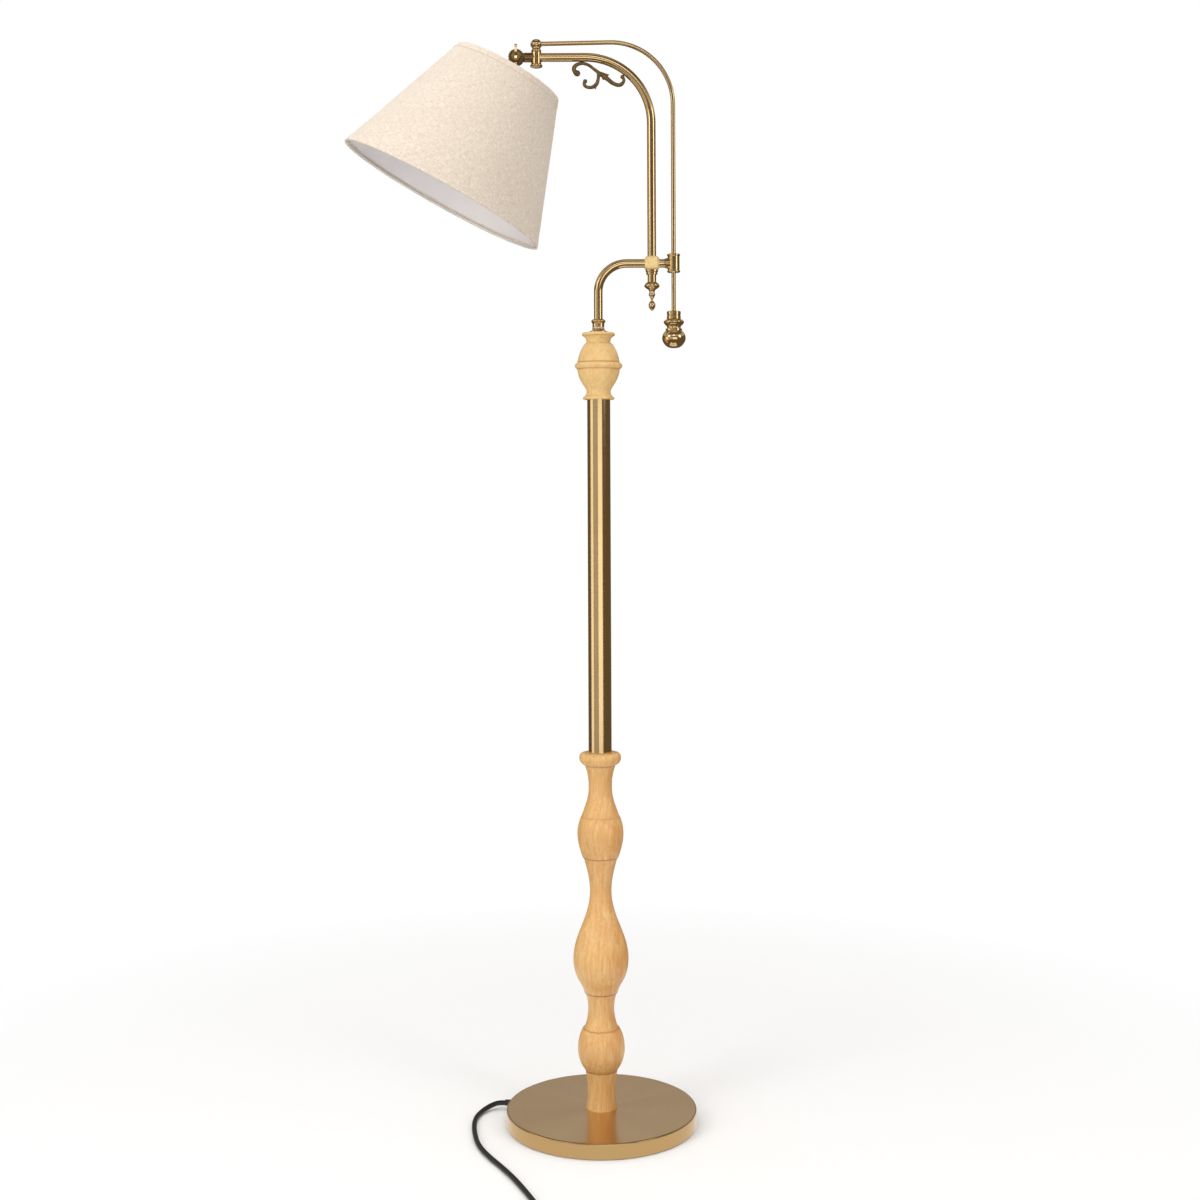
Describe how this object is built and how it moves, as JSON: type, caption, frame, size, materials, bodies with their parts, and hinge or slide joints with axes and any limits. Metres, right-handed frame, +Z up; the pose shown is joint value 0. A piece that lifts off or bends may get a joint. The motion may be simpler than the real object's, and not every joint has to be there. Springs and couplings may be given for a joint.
{
  "type": "adjustable arm floor lamp",
  "caption": "Floor lamp with a round weighted base, turned wood and brass column, swivelling bracket, sliding counterweighted arm and tilting tapered linen shade.",
  "frame": {"origin": "centre of the round base where its pad stands on the floor", "axes": "+Z up along the column, +X from the column towards the arm's upright tubes (the shade hangs towards -X), +Y to the back"},
  "size_m": [0.512, 0.5677, 1.5987],
  "materials": {
    "spun_brass": "satin, brushed, antique brass plating",
    "tube_brass": "polished antique brass",
    "dark_bronze": "matte dark bronze",
    "turned_wood": "satin lacquered pale hardwood",
    "ball_wood": "satin lacquered pale hardwood",
    "iron": "as cast",
    "zinc": "zinc plated",
    "nylon": "natural nylon",
    "felt": "closed-cell foam",
    "cord_pvc": "satin black",
    "plug_pvc": "matte black",
    "blade_brass": "bare brass",
    "lead": "insulated flex",
    "linen": "slubby woven linen",
    "lining": "smooth white styrene",
    "tape": "woven tape",
    "ring_wire": "white-lacquered steel wire",
    "phenolic": "moulded phenolic",
    "cap_metal": "bare aluminium",
    "opal_glass": "opal"
  },
  "bodies": {
    "stand": {"floor_pad": "felt", "base_plate": "zinc", "plate_screws": "zinc", "base_weight": "iron", "base_cover": "spun_brass", "pipe_washer": "zinc", "pipe_nut": "zinc", "cord_strain_relief": "plug_pvc", "power_cord": "cord_pvc", "power_cord_coil": "cord_pvc", "power_cord_tail": "cord_pvc", "plug_body": "plug_pvc", "plug_blades": "blade_brass", "column_pipe": "zinc", "wood_lower": "turned_wood", "wood_middle": "turned_wood", "wood_upper": "turned_wood", "pole_tube": "tube_brass", "pole_plugs": "zinc", "ball_pipe": "zinc", "wood_ball": "ball_wood", "swivel_seat": "tube_brass", "spindle_nut": "zinc", "column_lead": "lead"},
    "bracket": {"swivel_washer": "nylon", "swivel_collar": "tube_brass", "bracket_tube": "tube_brass", "bracket_lead": "lead", "cross_block": "tube_brass", "block_bush": "nylon", "block_gland": "tube_brass", "block_set_screw": "zinc", "guide_stub": "tube_brass", "guide_sleeve": "tube_brass", "sleeve_bush": "nylon"},
    "arm": {"arm_tube": "tube_brass", "arm_lead": "lead", "balance_rod": "tube_brass", "hub_post": "tube_brass", "hub_cap": "tube_brass", "scroll_ornament": "dark_bronze", "arm_finial": "tube_brass", "counterweight_collar": "tube_brass", "counterweight": "tube_brass", "knuckle_tongue": "tube_brass"},
    "head": {"knuckle_clevis": "tube_brass", "socket_stem": "zinc", "shade_lock_nut": "tube_brass", "socket_cup": "tube_brass", "socket_body": "phenolic", "screw_shell": "cap_metal", "bulb_base": "cap_metal", "bulb_glass": "opal_glass", "shade_cover": "linen", "shade_lining": "lining", "shade_tapes": "tape", "shade_spider": "ring_wire", "shade_bottom_ring": "ring_wire"},
    "thumb_screw": {"thumb_screw": "tube_brass"},
    "switch": {"switch_knob": "phenolic"}
  },
  "joints": [
    {"name": "arm_swivel", "type": "hinge", "parent": "stand", "child": "bracket", "pos_m": [0, 0, 1.172], "axis": [0, 0, 1], "range_deg": [-160, 160]},
    {"name": "arm_slide", "type": "slide", "parent": "bracket", "child": "arm", "axis": [0, 0, 1], "range_m": [-0.18, 0.01]},
    {"name": "shade_tilt", "type": "hinge", "parent": "arm", "child": "head", "pos_m": [-0.1196, 0, 1.572], "axis": [0, 1, 0], "range_deg": [-9, 60]},
    {"name": "thumb_screw_turn", "type": "hinge", "parent": "head", "child": "thumb_screw", "pos_m": [-0.1196, 0, 1.572], "axis": [0, -1, 0], "range_deg": [0, 360]},
    {"name": "switch_turn", "type": "hinge", "parent": "head", "child": "switch", "pos_m": [-0.14976, -0.021, 1.51669], "axis": [0, -1, 0], "continuous": true}
  ]
}
